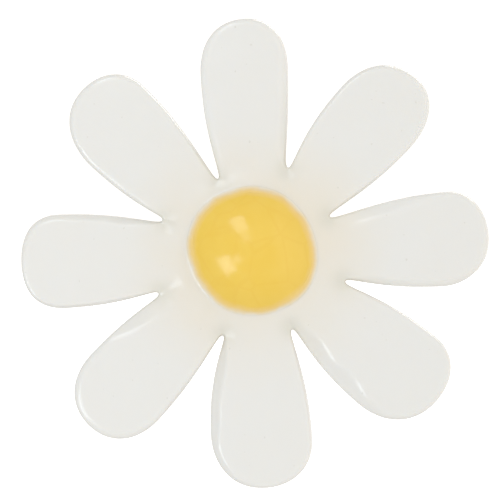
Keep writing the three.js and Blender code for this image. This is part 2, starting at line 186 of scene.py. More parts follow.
def fill(loops, points):
    """Triangles between closed loops and through the points, all in one plane."""
    every = [Vector(p) for loop in loops for p in loop] + [Vector(p) for p in points]
    edges = []
    start = 0
    for loop in loops:
        edges += [(start + i, start + (i + 1) % len(loop)) for i in range(len(loop))]
        start += len(loop)
    _, _, faces, origin, _, _ = delaunay_2d_cdt(every, edges, [], 2, 1e-7)
    index = [ids[0] if ids else -1 for ids in origin]
    if min(index) < 0:
        raise ValueError("two loops of the outline cross")
    return [tuple(index[i] for i in face) for face in faces]


def waves(x, z, seed):
    """A slow, smooth unevenness between about -1 and 1, the same for the same seed."""
    made = 0.0
    for i in range(6):
        turn = seed * 1.7 + i * 2.399
        length = 5.5 + 2.3 * ((seed * 3 + i * 5) % 4)
        made = made + np.sin(2 * math.pi * (x * math.cos(turn) + z * math.sin(turn)) / length + seed * i)
    return made / 3.5


def smooth_step(t):
    t = np.clip(t, 0, 1)
    return t * t * (3 - 2 * t)


# ---------------------------------------------------------------- the flower's outline
def back_edges():
    """The loop round the flower's flat back in the CAD node, anticlockwise as seen from the front."""
    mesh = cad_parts["petal_flower"].data
    key_of = [tuple(round(c / MM, 3) for c in vertex.co) for vertex in mesh.vertices]
    edges = set()
    for face in mesh.polygons:
        corners = [key_of[i] for i in face.vertices]
        if all(abs(corner[1] - BACK_Y) < 1e-3 for corner in corners):
            for a, b in zip(corners, corners[1:] + corners[:1]):
                if (b, a) in edges:
                    edges.remove((b, a))
                else:
                    edges.add((a, b))
    after = dict(edges)
    start = max(after)
    loop = [start]
    while after[loop[-1]] != start:
        loop.append(after[loop[-1]])
    loop = np.array([(x, z) for x, _, z in loop])
    area = np.sum(loop[:, 0] * np.roll(loop[:, 1], -1) - np.roll(loop[:, 0], -1) * loop[:, 1])
    return loop if area > 0 else loop[::-1]


def closed_spline(points, steps):
    """Points on a smooth closed curve through the given ones, steps to each span."""
    before, here, then, later = points, np.roll(points, -1, 0), np.roll(points, -2, 0), np.roll(points, -3, 0)
    t = (np.arange(steps) / steps)[None, :, None]
    p0, p1, p2, p3 = (p[:, None, :] for p in (before, here, then, later))
    made = 0.5 * (
        2 * p1
        + (p2 - p0) * t
        + (2 * p0 - 5 * p1 + 4 * p2 - p3) * t**2
        + (3 * p1 - p0 - 3 * p2 + p3) * t**3
    )
    return made.reshape(-1, 2)


def evenly(points, spacing):
    """Points evenly round a closed polyline, or spaced by a value at each of its points; and where they lie."""
    step = np.linalg.norm(np.roll(points, -1, 0) - points, axis=1)
    spaces = np.broadcast_to(spacing, len(points))
    share = np.concatenate([[0], np.cumsum(step / spaces)])
    count = int(round(share[-1]))
    at = np.interp(np.arange(count) * share[-1] / count, share, np.arange(len(points) + 1))
    whole = np.floor(at).astype(int)
    part = (at - whole)[:, None]
    closed = np.concatenate([points, points[:1]])
    return closed[whole] * (1 - part) + closed[whole + 1] * part, at


def blurred(values, length, width):
    """Values at even steps round a closed curve of that length, smoothed over about the width."""
    turns = np.fft.fftfreq(len(values), 1 / len(values))
    keep = np.exp(-((2 * math.pi * turns * width / length) ** 2) / 2)
    return np.fft.ifft(np.fft.fft(values) * keep)


def length_of(points):
    return float(np.linalg.norm(np.roll(points, -1, 0) - points, axis=1).sum())


def edge_settings(curve, notches, tips, length):
    """Width, softness and slope of the edge face at each place round the outline."""
    count = len(curve)
    settings = np.zeros((count, 3))
    for tip, (clockwise, end_face, other) in zip(tips, EDGE_FACES):
        start = max((n for n in notches if n < tip), default=max(notches) - count)
        end = min((n for n in notches if n > tip), default=min(notches) + count)
        for i in range(start, end):
            side = clockwise if i < tip else other
            share = (i - start) / (tip - start) if i < tip else (end - i) / (end - tip)
            width = np.interp(share, (0, 0.5, 1), (side[0], side[1], end_face[0]))
            softness = np.interp(share, (0, 0.6, 1), (side[3], side[3], end_face[2]))
            slope = np.interp(share, (0, 0.6, 1), (side[2], side[2], end_face[1]))
            from_notch = min(i - start, end - i) * length / count
            narrow = NOTCH_SHARE + (1 - NOTCH_SHARE) * smooth_step(from_notch / NOTCH_TAPER)
            settings[i % count] = (width * narrow, softness, slope)
    for k in range(3):
        settings[:, k] = np.real(blurred(settings[:, k], length, 1.1))
    return settings


def trace_outline():
    """The outline at even fine steps: points, inward normals, curvature, and the edge faces' settings there;
    and the ends of the notches, in order."""
    fine, _ = evenly(closed_spline(back_edges(), 12), OUTLINE_STEP)
    length = length_of(fine)
    curve = blurred(fine[:, 0] + 1j * fine[:, 1], length, 0.22)
    count = len(curve)
    tangent = (np.roll(curve, -1) - np.roll(curve, 1)) * count / (2 * length)
    tangent /= np.abs(tangent)
    bend = np.imag(np.roll(tangent, -1) * np.conj(np.roll(tangent, 1))) * count / (2 * length)
    inward = 1j * tangent
    radius = np.abs(curve)
    reach = int(12 / OUTLINE_STEP)  # a notch or a tip is the extreme of 12 mm of outline to either side
    near = np.stack([np.roll(radius, k) for k in range(-reach, reach + 1, 8)])
    low = [i for i in range(count) if radius[i] <= near[:, i].min() + 1e-9 and radius[i] < 18]
    high = [i for i in range(count) if radius[i] >= near[:, i].max() - 1e-9 and radius[i] > 24]
    notches = [group[len(group) // 2] for group in grouped(low, count)]
    tips = [group[len(group) // 2] for group in grouped(high, count)]
    tips.sort(key=lambda i: np.angle(curve[i] * np.exp(0.3j)) % (2 * math.pi))
    settings = edge_settings(curve, notches, tips, length)
    notches.sort(key=lambda i: np.angle(curve[i]) % (2 * math.pi))
    return curve, inward, bend, settings, [curve[i] for i in notches]


def grouped(indices, count):
    """Runs of nearby indices round a loop of count places."""
    groups = []
    for i in indices:
        if groups and i - groups[-1][-1] < 60:
            groups[-1].append(i)
        else:
            groups.append([i])
    if len(groups) > 1 and groups[0][0] + count - groups[-1][-1] < 60:
        groups[0] = [i - count for i in groups.pop()] + groups[0]
    return groups


curve, inward, bend, settings, notches = trace_outline()
curve_tree = KDTree(len(curve))
for i, p in enumerate(curve):
    curve_tree.insert((p.real, p.imag, 0), i)
curve_tree.balance()


def from_outline(points):
    """For points x + z i in the flower's plane: the distance inside the outline, and its nearest place."""
    found = [curve_tree.find((p.real, p.imag, 0)) for p in points]
    place = np.array([f[1] for f in found])
    offset = points - curve[place]
    inside = np.real(offset * np.conj(inward[place]))
    distance = np.array([f[2] for f in found])
    return np.where(inside >= 0, distance, -distance), place


# ---------------------------------------------------------------- the flower's surfaces
def rim_radius(angle):
    """The dome's rim is not quite round: flatter at upper right and lower left."""
    shift = DOME_SHIFT[0] * np.cos(angle) + DOME_SHIFT[1] * np.sin(angle)
    return DOME_RADIUS * (1 + 0.028 * np.cos(2 * angle + 1.44) + 0.013 * np.cos(4 * angle + 1.49)) + shift


def above_zero(value, softness):
    """The value where it is positive and zero where it is not, with a soft corner between."""
    half = softness / 2
    return np.where(value > half, value, np.clip(value + half, 0, softness) ** 2 / (2 * softness))


def hollow_drop(points, notch, reach):
    """How far the hollow past the end of a notch brings the front down."""
    local = (points - notch) * np.conj(-notch / abs(notch))
    fade = np.where(local.real > 0, 1 - smooth_step(local.real / reach), np.exp(-((local.real / 1.6) ** 2)))
    return HOLLOW_DEPTH * fade * np.exp(-((local.imag / HOLLOW_WIDTH) ** 2))


def flat_drop(points, flat):
    """How far one of the long flats brings the front down; it stops at its notch."""
    (start_radius, start_angle), (end_radius, end_angle), slope, side, number, wavers = flat
    start = start_radius * np.exp(1j * math.radians(start_angle))
    end = end_radius * np.exp(1j * math.radians(end_angle))
    heading = (end - start) / abs(end - start)
    local = (points - start) * np.conj(heading)
    from_notch = points * np.conj(notches[number] / abs(notches[number]))
    own_petal = smooth_step(0.5 - from_notch.imag * side / 0.9)
    aside = local.imag * side + wavers * np.sin(local.real * 0.9 + start_angle)
    return above_zero(aside, 0.95) * slope * smooth_step(local.real / 6 + 0.3) * own_petal


def front_height(points, distance, place):
    """Height of the flower's front at points that lie the given distances inside the outline."""
    x, z = points.real, points.imag
    radius = np.abs(points)
    width, softness, slope = settings[place].T
    width = width * (1 + 0.1 * waves(x * 1.7, z * 1.7, 7))
    crown = CROWN * (1 - (1 - np.minimum(distance, 5) / 5) ** 2)
    rise = (COLLAR_TOP - FLOWER_THICK) * smooth_step((COLLAR_FOOT - radius) / COLLAR_RISE)
    level = FLOWER_THICK - CROWN + crown + 0.05 * waves(x, z, 2) + rise
    drops = [above_zero(width - distance, softness / slope) * slope]
    drops += [hollow_drop(points, notch, reach) for notch, reach in zip(notches, HOLLOW_LENGTHS)]
    drops += [flat_drop(points, flat) for flat in LONG_FLATS]
    height = level - sum(drop**4 for drop in drops) ** 0.25
    edge = np.clip(1 - distance / EDGE_IN, 0, 1)
    height = height - EDGE_DOWN * (1 - np.sqrt(1 - edge**2))
    height = height + (FLOWER_THICK + rise - height) * smooth_step((PLAIN_RADIUS - radius) / PLAIN_FADE)
    foot = rim_radius(np.angle(points)) + SEAT_GAP + FILLET_SHARE * FILLET
    up_fillet = np.clip((foot - radius) / FILLET, 0, FILLET_SHARE)
    return height + FILLET * (1 - np.sqrt(1 - up_fillet**2))


def back_height(points, distance):
    dish = smooth_step((distance - BACK_EDGE) / 1.6)
    return BACK_DISH * dish * (0.8 + 0.4 * waves(points.real, points.imag, 5))


def row_inside(distance, spacing):
    """Evenly spaced points along the line at that distance inside the outline."""
    line = curve + inward * distance
    row, _ = evenly(np.stack([line.real, line.imag], 1), spacing)
    return row[:, 0] + 1j * row[:, 1]


def triangle_grid(step):
    """Points of an even triangular grid over the whole flower."""
    columns, rows = np.arange(-GRID_HALF, GRID_HALF, step), np.arange(-GRID_HALF, GRID_HALF, step * 0.866)
    across, up = np.meshgrid(columns, rows)
    across = across + (np.arange(len(up)) % 2)[:, None] * step / 2
    return (across + 1j * up).ravel()


def as_pairs(points):
    return [(p.real, p.imag) for p in points]


def side_rows():
    """Rows of (points, heights): round the back edge, up the side and over the front edge."""
    spacing = 0.29 / (1 + 0.9 * np.maximum(np.abs(bend) - 0.3, 0))  # closer where the outline turns sharply
    _, at = evenly(np.stack([curve.real, curve.imag], 1), spacing)
    place = np.round(at).astype(int) % len(curve)
    rim, normal = curve[place], inward[place]
    rows = [(rim + normal * distance, np.full(len(rim), height)) for distance, height in BACK_ROUND]
    top = front_height(rim, np.zeros(len(rim)), place)
    rows += [(rim, WALL_FROM + (top - WALL_FROM) * share) for share in WALL_SHARES]
    for distance in FRONT_ROWS:
        points = rim + normal * distance
        rows.append((points, front_height(points, np.full(len(rim), distance), place)))
    return rows


def front_spots(seat_radius, turn):
    """The front's inner points: rows that follow the edge, rings round the collar, and a grid on the rest."""
    spots = []
    for distance in np.arange(0.8, 3.1, 0.165):
        row = row_inside(distance, 0.26)
        spots.append(row[(from_outline(row)[0] > distance - 0.03) & (np.abs(row) > RINGS_TO + 0.05)])
    for ring, share in enumerate(RING_SHARES):
        half_step = np.exp(1j * math.pi / SEAT_POINTS * (ring % 2))
        row = (seat_radius * (1 - share) + RINGS_TO * share) * turn * half_step
        spots.append(row[from_outline(row)[0] > 0.8])
    grid = triangle_grid(0.48)
    grid = grid[np.abs(grid) > RINGS_TO + 0.1]
    spots.append(grid[from_outline(grid)[0] > 3.2])
    return np.concatenate(spots)


def back_spots():
    spots = []
    for distance in BACK_ROWS:
        row = row_inside(distance, 0.6)
        spots.append(row[from_outline(row)[0] > distance - 0.03])
    grid = triangle_grid(0.9)
    spots.append(grid[from_outline(grid)[0] > 2.4])
    return np.concatenate(spots)


def petal_casting(material):
    """The eight petals and the white collar in one casting, with the seat for the dome."""
    rows = side_rows()
    count = len(rows[0][0])
    flat, heights = np.concatenate([r[0] for r in rows]), np.concatenate([r[1] for r in rows])
    last_row = (len(rows) - 1) * count
    faces = []
    for k in range(len(rows) - 1):
        faces += band(k * count, (k + 1) * count, count)

    # The front, between the last row and the seat's rim
    turn = np.exp(2j * math.pi * np.arange(SEAT_POINTS) / SEAT_POINTS)
    seat_radius = rim_radius(np.angle(turn)) + SEAT_GAP
    seat = seat_radius * turn
    spots = front_spots(seat_radius, turn)
    new = np.concatenate([seat, spots])
    distance, near = from_outline(new)
    start = len(flat)
    made = fill([as_pairs(rows[-1][0]), as_pairs(seat)], as_pairs(spots))
    faces += [tuple(last_row + i if i < count else start + i - count for i in face) for face in made]
    flat, heights = np.concatenate([flat, new]), np.concatenate([heights, front_height(new, distance, near)])

    # The seat: a wall down to its floor
    foot = len(flat)
    flat = np.concatenate([flat, seat, [0]])
    heights = np.concatenate([heights, np.full(SEAT_POINTS + 1, SEAT_FLOOR)])
    faces += band(start, foot, SEAT_POINTS)
    faces += [(foot + i, foot + (i + 1) % SEAT_POINTS, foot + SEAT_POINTS) for i in range(SEAT_POINTS)]

    # The back, which closes off the first row
    spots = back_spots()
    start = len(flat)
    made = fill([as_pairs(rows[0][0])], as_pairs(spots))
    faces += [tuple(i if i < count else start + i - count for i in reversed(face)) for face in made]
    distance, _ = from_outline(spots)
    flat, heights = np.concatenate([flat, spots]), np.concatenate([heights, back_height(spots, distance)])

    vertices = np.stack([flat.real, BACK_Y - heights, flat.imag], 1)
    piece = add_piece("petal_casting", vertices, faces, material)
    mark_dye(piece)
    mark_notch_shade(piece)
    return piece


def mark(piece, name, values):
    piece.data.attributes.new(name, "FLOAT", "POINT").data.foreach_set("value", values.astype(np.float32))


def mark_dye(piece):
    """Keeps how far each vertex lies outside the dome's rim, in millimetres, for the colour that bleeds there.
    The colour does not reach the back."""
    where = np.array([v.co for v in piece.data.vertices]) / MM
    outside = np.hypot(where[:, 0], where[:, 2]) - rim_radius(np.arctan2(where[:, 2], where[:, 0])) - 0.06
    outside[where[:, 1] > BACK_Y - 2] = 5
    mark(piece, "dye", outside)


def mark_notch_shade(piece):
    """Keeps how near each vertex lies to the end of a notch, 0 to 1, for the shade painted darker there."""
    where = np.array([v.co for v in piece.data.vertices]) / MM
    near = np.zeros(len(where))
    for notch in notches:
        away = np.abs(where[:, 0] + 1j * where[:, 2] - notch * (1 - 0.4 / abs(notch)))
        near = np.maximum(near, np.exp(-((away / 1.5) ** 2)))
    mark(piece, "notch", near)


def turned(profile, segments, place, shape):
    """A closed body turned round an axis: vertices and faces. The profile runs from axis to axis as (radius,
    height). Shape alters a ring, given its angles, radii and heights. Place turns two distances across the
    axis and a height into x, y, z."""
    angle = 2 * math.pi * np.arange(segments) / segments
    rows = []
    for radius, height in profile[1:-1]:
        r, h = shape(angle, np.full(segments, float(radius)), np.full(segments, float(height)))
        rows.append(np.array([place(*v) for v in zip(r * np.cos(angle), r * np.sin(angle), h)]))
    return capped(place(0, 0, profile[0][1]), rows, place(0, 0, profile[-1][1]))


def in_flower(a, b, height):
    return a, BACK_Y - height, b


def dome_shape(angle, r, h):
    share = r / DOME_RADIUS
    r = r * (1 + (rim_radius(angle) / DOME_RADIUS - 1) * share)
    h = h + 0.02 * waves(r * np.cos(angle), r * np.sin(angle), 4) * (h > DOME_SHOULDER)
    return r, h


def ring_shape(angle, r, h):
    """The adhesive follows the dome's rim."""
    return r + rim_radius(angle) - DOME_RADIUS, h


def dome(material):
    """The cap of a larger ball, as a thick drop of resin sets, on a straight side down into the seat."""
    rise = DOME_TOP - DOME_SHOULDER
    ball = (DOME_RADIUS**2 + rise**2) / (2 * rise)
    profile = [(0, DOME_TOP)]
    for slope in np.linspace(0, math.asin(DOME_RADIUS / ball), 41)[1:]:
        profile.append((ball * math.sin(slope), DOME_TOP - ball * (1 - math.cos(slope))))
    profile += [(DOME_RADIUS, height) for height in (4.1, 3.4, 2.95)] + [(DOME_RADIUS - 0.1, 2.89), (0, 2.88)]
    vertices, faces = turned(profile, DOME_SEGMENTS, in_flower, dome_shape)
    piece = add_piece("yellow_centre", vertices, faces, material)
    mark_dye(piece)
    return piece


def centre_ring(material):
    """Adhesive under and round the dome; its top shows as a thin ring between the dome and the collar."""
    profile = [(0, 2.62), (8.46, 2.62), (8.46, 3.95), (8.7, 4.0), (8.9, 4.02)]
    profile += [(8.8, 4.08), (8.7, 4.135), (8.6, 4.21), (8.52, 4.285), (8.44, 4.37), (8.36, 4.457)]
    profile += [(8.28, 4.545), (8.2, 4.625), (8.12, 4.695), (8.04, 4.757), (7.97, 4.8)]
    profile += [(8.1, 4.5), (8.25, 4.2), (8.3, 2.95), (8.2, 2.86), (0, 2.86)]
    vertices, faces = turned(profile, DOME_SEGMENTS, in_flower, ring_shape)
    piece = add_piece("centre_adhesive_ring", vertices, faces, material)
    mark_dye(piece)
    return piece


# ---------------------------------------------------------------- pressed steel
pin_low, pin_high = box_mm("hinge_pin")
arm_low, arm_high = box_mm("flower_arm")
PIVOT_X = (pin_low.x + pin_high.x) / 2
STEEL = 0.6
HALF = STEEL / 2
BREAK = 0.1  # the tumbled round along every edge of the sheet
EDGE_Z = arm_high.z  # half the arms' width
BEAK_X, TAIL_X = arm_low.x, arm_high.x
CORNER = 2.4
ARM_MIDDLE = 2.8  # from the hinge's axis to the middle of each arm's sheet
EAR_RADIUS = 2.1
EAR_BASE = 3.0
INNER_EAR_Z = 2.5  # to the middle of the jaw's ears, which stand inside the other arm's
HOLE_RADIUS = 0.83
TAIL_ANGLE = math.radians(26)
WAIST_EDGE = 2.8  # half the jaw's width where it passes between the other arm's ears
WAIST_HALF = 3.6
FOLD = 0.55  # radius of the folds, to the middle of the sheet
RELIEF = 0.4  # width of the cuts beside each fold


def arc(centre, radius, start, end, steps=12):
    angles = np.radians(np.linspace(start, end, steps))
    return [(centre[0] + radius * math.cos(a), centre[1] + radius * math.sin(a)) for a in angles]


def smooth_loop(points, spacing, hole=False):
    """A closed line through corners, even and slightly rounded: anticlockwise, or clockwise for a hole."""
    points = np.array(points, float)
    area = np.sum(points[:, 0] * np.roll(points[:, 1], -1) - np.roll(points[:, 0], -1) * points[:, 1])
    if (area > 0) == hole:
        points = points[::-1]
    even, _ = evenly(points, spacing)
    line = blurred(even[:, 0] + 1j * even[:, 1], length_of(even), 0.08)
    return np.stack([line.real, line.imag], 1)


def moved_in(loop, distance):
    """The loop moved into the sheet, which lies on its left."""
    along = np.roll(loop, -1, 0) - np.roll(loop, 1, 0)
    along /= np.linalg.norm(along, axis=1)[:, None]
    return loop + distance * np.stack([-along[:, 1], along[:, 0]], 1)


def inside(points, loops):
    """Which points lie inside an odd number of the loops."""
    crossings = np.zeros(len(points), int)
    for loop in loops:
        after = np.roll(loop, -1, 0)
        for (ax, ay), (bx, by) in zip(loop, after):
            if ay != by:
                spans = (ay > points[:, 1]) != (by > points[:, 1])
                crossings += spans & (points[:, 0] < (bx - ax) * (points[:, 1] - ay) / (by - ay) + ax)
    return crossings % 2 == 1


def pressed(name, outline, holes, grid, folded, material):
    """A piece of folded sheet with rounded edges. The outline, holes and grid lie in the flat pattern; folded
    turns places in it and an offset through the thickness into points in space."""
    loops = [smooth_loop(outline, 0.15)] + [smooth_loop(hole, 0.12, True) for hole in holes]
    round_over = ((BREAK, HALF), (0.03, HALF - 0.03), (0, HALF - BREAK))  # (distance in, offset)
    rim = round_over + tuple((inwards, -offset) for inwards, offset in reversed(round_over))
    vertices, faces, tops, bottoms, base = [], [], [], [], 0
    for loop in loops:
        count = len(loop)
        for row, (inwards, offset) in enumerate(rim):
            vertices.append(folded(moved_in(loop, inwards), offset))
            if row:
                faces += band(base + (row - 1) * count, base + row * count, count)
        tops += range(base, base + count)
        bottoms += range(base + 5 * count, base + 6 * count)
        base += 6 * count
    inner = [moved_in(loop, BREAK) for loop in loops]
    tree = KDTree(sum(len(loop) for loop in inner))
    for i, point in enumerate(np.concatenate(inner)):
        tree.insert((*point, 0), i)
    tree.balance()
    grid = grid[inside(grid, inner)]
    grid = grid[[tree.find((*point, 0))[2] > 0.14 for point in grid]]
    made = fill([[tuple(p) for p in loop] for loop in inner], [tuple(p) for p in grid])
    vertices += [folded(grid, HALF), folded(grid, -HALF)]
    tops += range(base, base + len(grid))
    bottoms += range(base + len(grid), base + 2 * len(grid))
    faces += [tuple(tops[i] for i in reversed(face)) for face in made]
    faces += [tuple(bottoms[i] for i in face) for face in made]
    vertices = np.concatenate(vertices)
    return add_piece(name, vertices, outward(vertices, faces), material)


def folded_over(from_axis, starts):
    """Across a fold that starts this far from the middle: the distance out, the depth and the turned angle."""
    turn = np.clip((from_axis - starts) / FOLD, 0, math.pi / 2)
    straight = np.maximum(from_axis - starts - FOLD * math.pi / 2, 0)
    out = np.minimum(from_axis, starts) + FOLD * np.sin(turn)
    return out, FOLD * (1 - np.cos(turn)) + straight, turn


def both_edges(half):
    """The whole outline from the line along one edge, beak to tail or tail to beak."""
    return half + [(along, -across) for along, across in reversed(half)]


def flower_arm(material):
    """A flat strip whose two ears fold back round the hinge pin."""
    fold_from = EDGE_Z - HALF - FOLD
    to_pin = fold_from + FOLD * math.pi / 2 + ARM_MIDDLE - FOLD

    def folded(points, offset):
        across = np.abs(points[:, 1])
        starts = np.where(np.abs(points[:, 0] - PIVOT_X) < EAR_BASE + RELIEF / 2, fold_from, 99.0)
        out, depth, turn = folded_over(across, starts)
        side = np.sign(points[:, 1])
        y = -ARM_MIDDLE + depth - offset * np.cos(turn)
        return np.stack([points[:, 0], y, side * (out + offset * np.sin(turn))], 1)

    right, left = PIVOT_X + EAR_BASE, PIVOT_X - EAR_BASE
    half = arc((TAIL_X - CORNER, EDGE_Z - CORNER), CORNER, 0, 90)
    half += [(right + RELIEF, EDGE_Z), (right + RELIEF, fold_from), (right, fold_from)]
    half += [(right - 0.2, to_pin - 2.3)]
    half += arc((PIVOT_X, to_pin), EAR_RADIUS, 0, 180, 24)
    half += [(left + 0.2, to_pin - 2.3)]
    half += [(left, fold_from), (left - RELIEF, fold_from), (left - RELIEF, EDGE_Z)]
    half += arc((BEAK_X + CORNER, EDGE_Z - CORNER), CORNER, 90, 180)
    holes = [arc((PIVOT_X, side * to_pin), HOLE_RADIUS, 0, 350, 36) for side in (1, -1)]
    fold = fold_from + FOLD * np.linspace(0, math.pi / 2, 6)
    columns = np.concatenate([np.arange(0, fold_from, 0.6), fold, np.arange(fold[-1] + 0.45, 8.2, 0.45)])
    columns = np.concatenate([-columns[:0:-1], columns])
    rows = np.arange(BEAK_X, TAIL_X, 0.7)
    grid = np.stack(np.meshgrid(rows, columns), -1).reshape(-1, 2)
    return pressed("pressed_flower_arm", both_edges(half), holes, grid, folded, material)


TAIL_FOOT = np.array([PIVOT_X - ARM_MIDDLE * math.sin(TAIL_ANGLE), ARM_MIDDLE * math.cos(TAIL_ANGLE)])
BEND_X = TAIL_FOOT[0] + (ARM_MIDDLE - TAIL_FOOT[1]) / math.tan(TAIL_ANGLE)
BEND_SPAN = 0.7  # the bend between the tail and the flat part, to either side of its corner
FLAT_TO_X = -7.0
BEAK_EASE = 7.0  # how gently the beak curves away from the flat part and into its nose
NOSE_Y = -2.1
TEETH = 6
TOOTH_ROOT, TOOTH_TIP = 0.85, 1.6  # depths below the beak's middle line
TEETH_FROM_X = -11.5
NEAREST_Y = -2.4  # the jaw comes no closer than this to the flower arm


def tail_at(x):
    return np.array([x, TAIL_FOOT[1] + (x - TAIL_FOOT[0]) * math.tan(TAIL_ANGLE)])


def bezier(corners, t):
    t = t[:, None]
    points = [np.array(c, float) for c in corners]
    while len(points) > 1:
        points = [a * (1 - t) + b * t for a, b in zip(points, points[1:])]
    return points[0]


def jaw_line():
    """The jaw's middle line in the side view, from the tail to the beak, at even steps."""
    start = tail_at(BEND_X + BEND_SPAN * math.cos(TAIL_ANGLE))
    bend = bezier((start, (BEND_X, ARM_MIDDLE), (BEND_X - BEND_SPAN, ARM_MIDDLE)), np.linspace(0, 1, 40))
    corners = [(FLAT_TO_X, ARM_MIDDLE), (FLAT_TO_X - BEAK_EASE, ARM_MIDDLE)]
    corners += [(BEAK_X + BEAK_EASE, NOSE_Y), (BEAK_X, NOSE_Y)]
    line = np.concatenate([[tail_at(TAIL_X)], bend, bezier(corners, np.linspace(0, 1, 200))])
    far = np.concatenate([[0], np.cumsum(np.linalg.norm(np.diff(line, axis=0), axis=1))])
    steps = np.linspace(0, far[-1], 1600)
    return steps, np.stack([np.interp(steps, far, line[:, k]) for k in (0, 1)], 1)


def jaw_arm(material):
    """A sloping tail with two ears down round the pin, a flat back, and a beak with toothed flanges."""
    steps, line = jaw_line()
    heading = np.gradient(line, axis=0)
    for _ in range(3):
        heading[1:-1] = (heading[:-2] + heading[1:-1] + heading[2:]) / 3
    heading /= np.linalg.norm(heading, axis=1)[:, None]
    down = np.stack([-heading[:, 1], heading[:, 0]], 1)

    def at(values, along):
        return np.interp(along, steps, values)

    def along_of(x):
        return float(np.interp(-x, -line[:, 0], steps))

    def flat_of(x, y):
        """Where a point of the side view lies in the flat pattern: along the line, and how deep below it."""
        offset = np.array([x, y]) - line
        nearest = int(np.argmin(np.hypot(*offset.T)))
        return steps[nearest], float(offset[nearest] @ down[nearest])

    ear_from, flange_from = INNER_EAR_Z - FOLD, EDGE_Z - HALF - FOLD
    ear_span = (along_of(PIVOT_X + EAR_BASE) - RELIEF / 2, along_of(PIVOT_X - EAR_BASE) + RELIEF / 2)
    quarter = FOLD * math.pi / 2
    room = (line[:, 1] - NEAREST_Y) / np.abs(down[:, 1])
    first = along_of(TEETH_FROM_X)
    last = float(steps[np.nonzero(room > 1.0)[0].max()])

    def folded(points, offset):
        along, across = points[:, 0], np.abs(points[:, 1])
        starts = np.full(len(along), 99.0)
        starts[(along > ear_span[0]) & (along < ear_span[1])] = ear_from
        starts[(along > first - RELIEF / 2) & (along < last + RELIEF / 2)] = flange_from
        out, depth, turn = folded_over(across, starts)
        depth = depth - offset * np.cos(turn)
        x = at(line[:, 0], along) + at(down[:, 0], along) * depth
        y = at(line[:, 1], along) + at(down[:, 1], along) * depth
        return np.stack([x, y, np.sign(points[:, 1]) * (out + offset * np.sin(turn))], 1)

    def edge_x(points):
        return [(along_of(x), across) for x, across in points]

    # Half of the outline: the tail, the waist with an ear, the toothed flange and the beak
    half = edge_x(arc((TAIL_X - CORNER, EDGE_Z - CORNER), CORNER, 0, 90))
    step = EDGE_Z - WAIST_EDGE
    half += edge_x([(PIVOT_X + WAIST_HALF + step, EDGE_Z), (PIVOT_X + WAIST_HALF, WAIST_EDGE)])
    half += [(ear_span[0] - RELIEF / 2, WAIST_EDGE), (ear_span[0] - RELIEF / 2, ear_from)]
    ear = [(PIVOT_X + EAR_BASE - 0.15, tail_at(PIVOT_X + EAR_BASE)[1] - 0.9)]
    ear += arc((PIVOT_X, 0), EAR_RADIUS, 0, -180, 24) + [(PIVOT_X - EAR_BASE + 0.15, ARM_MIDDLE - 0.7)]
    half += [(ear_span[0] + RELIEF / 2, ear_from)]
    half += [(along, ear_from + quarter + depth - FOLD) for along, depth in (flat_of(*p) for p in ear)]
    half += [(ear_span[1] - RELIEF / 2, ear_from), (ear_span[1] + RELIEF / 2, ear_from)]
    half += [(ear_span[1] + RELIEF / 2, WAIST_EDGE)]
    half += edge_x([(PIVOT_X - WAIST_HALF, WAIST_EDGE), (PIVOT_X - WAIST_HALF - step, EDGE_Z)])
    half += [(first - RELIEF, EDGE_Z), (first - RELIEF, flange_from), (first, flange_from)]
    for corner in range(TEETH * 2 + 1):
        along = first + (last - first) * corner / (TEETH * 2)
        depth = min(TOOTH_TIP if corner % 2 else TOOTH_ROOT, at(room, along))
        half.append((along, flange_from + quarter + depth - FOLD))
    half += [(last, flange_from), (last + RELIEF, flange_from), (last + RELIEF, EDGE_Z)]
    half += edge_x(arc((BEAK_X + CORNER, EDGE_Z - CORNER), CORNER, 90, 180))
    hole = [flat_of(*p) for p in arc((PIVOT_X, 0), HOLE_RADIUS, 0, 350, 36)]
    hole = [(along, ear_from + quarter + depth - FOLD) for along, depth in hole]
    holes = [hole, [(along, -across) for along, across in hole]]
    folds = [start + FOLD * np.linspace(0, math.pi / 2, 6) for start in (ear_from, flange_from)]
    columns = np.concatenate([np.arange(0, 1.9, 0.6), *folds, np.arange(3.9, 9, 0.45)])
    columns = np.unique(np.round(columns, 3))
    columns = np.concatenate([-columns[:0:-1], columns])
    grid = np.stack(np.meshgrid(np.arange(0, steps[-1], 0.5), columns), -1).reshape(-1, 2)
    return pressed("pressed_jaw_arm", both_edges(half), holes, grid, folded, material)


PIN_HEAD = 0.45


def hinge_pin(material):
    """A round pin with a domed head at each end, set by a punch that leaves a small hollow."""
    shank, end = pin_high.z - PIN_HEAD, pin_high.z
    half = [(0, end - 0.06), (0.2, end - 0.05), (0.38, end - 0.01), (0.5, end), (0.75, end - 0.03)]
    half += [(1.0, end - 0.1), (1.18, end - 0.19), (1.3, end - 0.3), (1.345, end - 0.38)]
    half += [(1.33, shank + 0.02), (1.28, shank), (0.8, shank), (0.75, shank - 0.05), (0.75, 0.0)]
    profile = half + [(radius, -height) for radius, height in reversed(half[:-1])]

    def place(a, b, height):
        return PIVOT_X + a, b, height

    def shape(angle, r, h):
        worn = (np.abs(h) > shank + 0.01) & (r > 1.1)
        return r + 0.03 * worn * np.sin(3 * angle + np.sign(h)), h

    vertices, faces = turned(profile, 56, place, shape)
    return add_piece("riveted_pin", vertices, faces, material, 50)


# ---------------------------------------------------------------- spring and mounting bead
WIRE = 0.35
COIL_RADIUS = 1.85
COIL_PITCH = 0.78
COIL_TURN = 4 * 2 * math.pi + math.pi - TAIL_ANGLE
LEG = 8.0
LEG_REST = ARM_MIDDLE - HALF - 0.05 - WIRE  # from the hinge's axis to the middle of a leg's far end
LEG_LEAN = math.asin((LEG_REST - COIL_RADIUS) / LEG)


